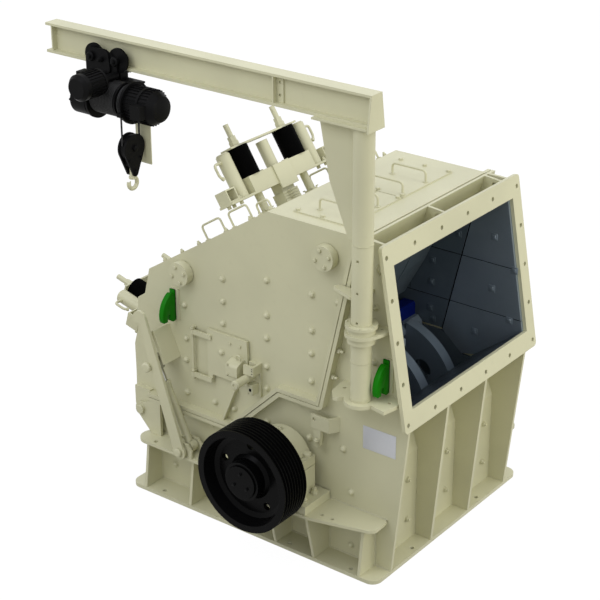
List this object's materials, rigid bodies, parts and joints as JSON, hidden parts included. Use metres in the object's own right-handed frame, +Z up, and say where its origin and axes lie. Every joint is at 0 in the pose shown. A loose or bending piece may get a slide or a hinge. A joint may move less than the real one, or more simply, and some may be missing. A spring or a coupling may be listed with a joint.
{
  "type": "horizontal shaft impact crusher",
  "caption": "Stationary impact crusher with a tilted feed opening, belt-driven rotor, backward-opening rear frame and a slewing service jib.",
  "frame": {"origin": "centre of the base flange's underside, on the floor", "axes": "+X towards the feed opening, Y along the rotor axis with the drive pulley at -Y, +Z up"},
  "size_m": [2.7815, 2.201, 3.133],
  "materials": {
    "cream_paint": "satin",
    "liner_steel": "satin",
    "rotor_steel": "satin",
    "rod_chrome": "polished",
    "blue_paint": "satin",
    "green_paint": "satin",
    "black_paint": "semi-gloss",
    "wire_rope": "satin"
  },
  "bodies": {
    "frame": {"base_flange": "cream_paint", "frame_side_near": "cream_paint", "frame_side_far": "cream_paint", "feed_end_wall": "cream_paint", "rear_end_wall": "cream_paint", "frame_ribs": "cream_paint", "bearing_shelves": "cream_paint", "lift_shelves": "cream_paint", "split_flanges_fixed": "cream_paint", "hinge_ears": "cream_paint", "feed_hood": "cream_paint", "feed_flange": "cream_paint", "chute_floor": "cream_paint", "chute_liner": "liner_steel", "feed_liners": "liner_steel", "bearing_near": "cream_paint", "bearing_far": "cream_paint", "jib_bracket_lower": "cream_paint", "jib_bracket_upper": "cream_paint", "frame_clamps": "cream_paint", "lifting_lugs_front": "green_paint"},
    "rotor": {"rotor_shaft": "rotor_steel", "rotor_discs": "rotor_steel", "blow_bars": "blue_paint", "drive_pulley": "black_paint"},
    "rear_frame": {"rear_side_near": "cream_paint", "rear_side_far": "cream_paint", "rear_roof": "cream_paint", "rear_wall": "cream_paint", "split_flanges_rear": "cream_paint", "rear_liners": "liner_steel", "pivot_caps": "cream_paint", "front_curtain": "liner_steel", "rear_curtain": "liner_steel", "roof_adjuster": "cream_paint", "roof_adjuster_springs": "black_paint", "roof_adjuster_cylinders": "cream_paint", "wall_adjuster": "cream_paint", "wall_adjuster_springs": "black_paint", "wall_adjuster_cylinders": "cream_paint", "lifting_lugs_rear": "green_paint", "lift_brackets": "cream_paint"},
    "door_near": {"inspection_door_near": "cream_paint"},
    "door_far": {"inspection_door_far": "cream_paint"},
    "jib": {"jib_column": "cream_paint", "jib_beam": "cream_paint"},
    "trolley": {"hoist_trolley": "black_paint", "hoist_drum": "black_paint", "hoist_ropes": "wire_rope"},
    "hook": {"hook_block": "black_paint", "crane_hook": "cream_paint"},
    "lift_arms": {"lift_arms": "cream_paint"},
    "lift_cylinders": {"lift_cylinders": "cream_paint"},
    "lift_rods": {"lift_rods": "rod_chrome"}
  },
  "joints": [
    {"name": "rotor_spin", "type": "hinge", "parent": "frame", "child": "rotor", "pos_m": [0.235, 0, 0.625], "axis": [0, 1, 0], "continuous": true},
    {"name": "rear_frame_open", "type": "hinge", "parent": "frame", "child": "rear_frame", "pos_m": [-0.99, 0, 0.542], "axis": [0, -1, 0], "range_deg": [0, 60]},
    {"name": "door_near_swing", "type": "hinge", "parent": "rear_frame", "child": "door_near", "pos_m": [-0.54, -0.705, 1.1], "axis": [0, 0, -1], "range_deg": [0, 110]},
    {"name": "door_far_swing", "type": "hinge", "parent": "rear_frame", "child": "door_far", "pos_m": [-0.54, 0.705, 1.1], "axis": [0, 0, 1], "range_deg": [0, 110]},
    {"name": "jib_slew", "type": "hinge", "parent": "frame", "child": "jib", "pos_m": [0.86, -0.82, 2], "axis": [0, 0, 1], "range_deg": [0, 180]},
    {"name": "trolley_travel", "type": "slide", "parent": "jib", "child": "trolley", "axis": [1, 0, 0], "range_m": [-0.2, 0.95]},
    {"name": "hook_lift", "type": "slide", "parent": "trolley", "child": "hook", "axis": [0, 0, -1], "range_m": [-0.06, 1.7], "deforming": ["hoist_ropes"]},
    {"name": "lift_arm_swing", "type": "hinge", "parent": "frame", "child": "lift_arms", "pos_m": [-0.546, 0, 0.421], "axis": [0, -1, 0], "range_deg": [0, 34]},
    {"name": "lift_cylinder_swing", "type": "hinge", "parent": "frame", "child": "lift_cylinders", "pos_m": [-0.525, 0, 0.432], "axis": [0, -1, 0], "range_deg": [0, 31]},
    {"name": "lift_rod_slide", "type": "slide", "parent": "lift_cylinders", "child": "lift_rods", "axis": [-0.4359, 0, 0.9], "range_m": [0, 0.31]}
  ],
  "couplings": [
    {"joint": "lift_arm_swing", "follows": "rear_frame_open", "ratio": 0.56},
    {"joint": "lift_cylinder_swing", "follows": "rear_frame_open", "ratio": 0.499},
    {"joint": "lift_rod_slide", "follows": "rear_frame_open", "m_per_rad": 0.2922}
  ]
}
